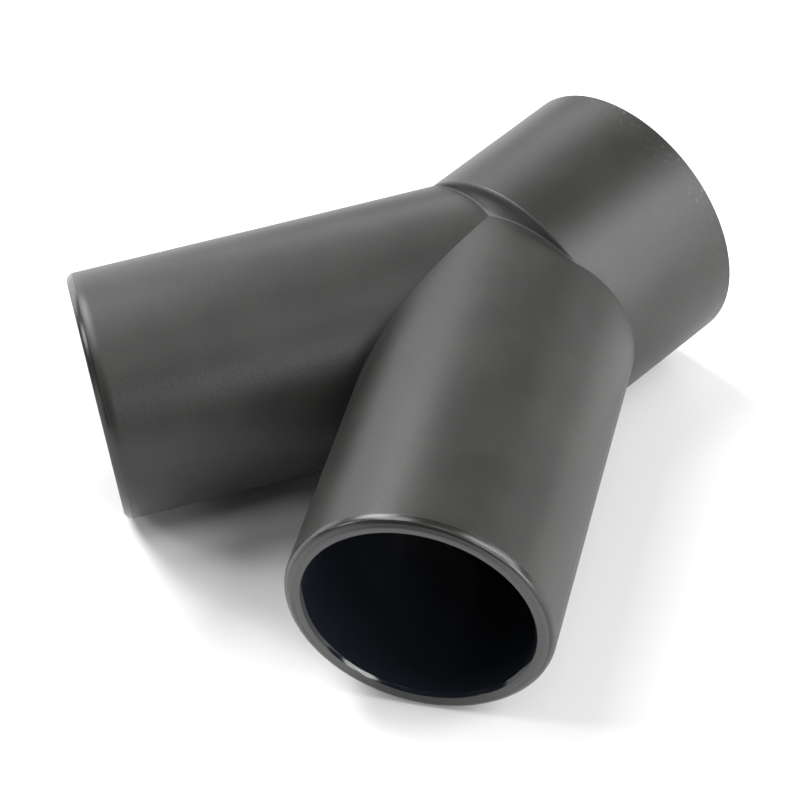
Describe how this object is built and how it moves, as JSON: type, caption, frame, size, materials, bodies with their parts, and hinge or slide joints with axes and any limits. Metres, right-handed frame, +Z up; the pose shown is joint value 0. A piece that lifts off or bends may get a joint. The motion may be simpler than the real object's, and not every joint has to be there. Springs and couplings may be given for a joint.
{
  "type": "y hose adapter",
  "caption": "Y-shaped hose adapter: equal plain tubes spread from a wider collar with a socket, to join or split suction hoses.",
  "frame": {"origin": "on the floor that the piece lies on, under the middle of its plan", "axes": "+X across the two branch ends, +Y from the branches towards the collar's mouth, +Z up"},
  "size_m": [0.1, 0.0916, 0.044],
  "materials": {
    "black_plastic": "satin"
  },
  "bodies": {
    "root": {"y_adapter_body": "black_plastic"}
  },
  "joints": []
}
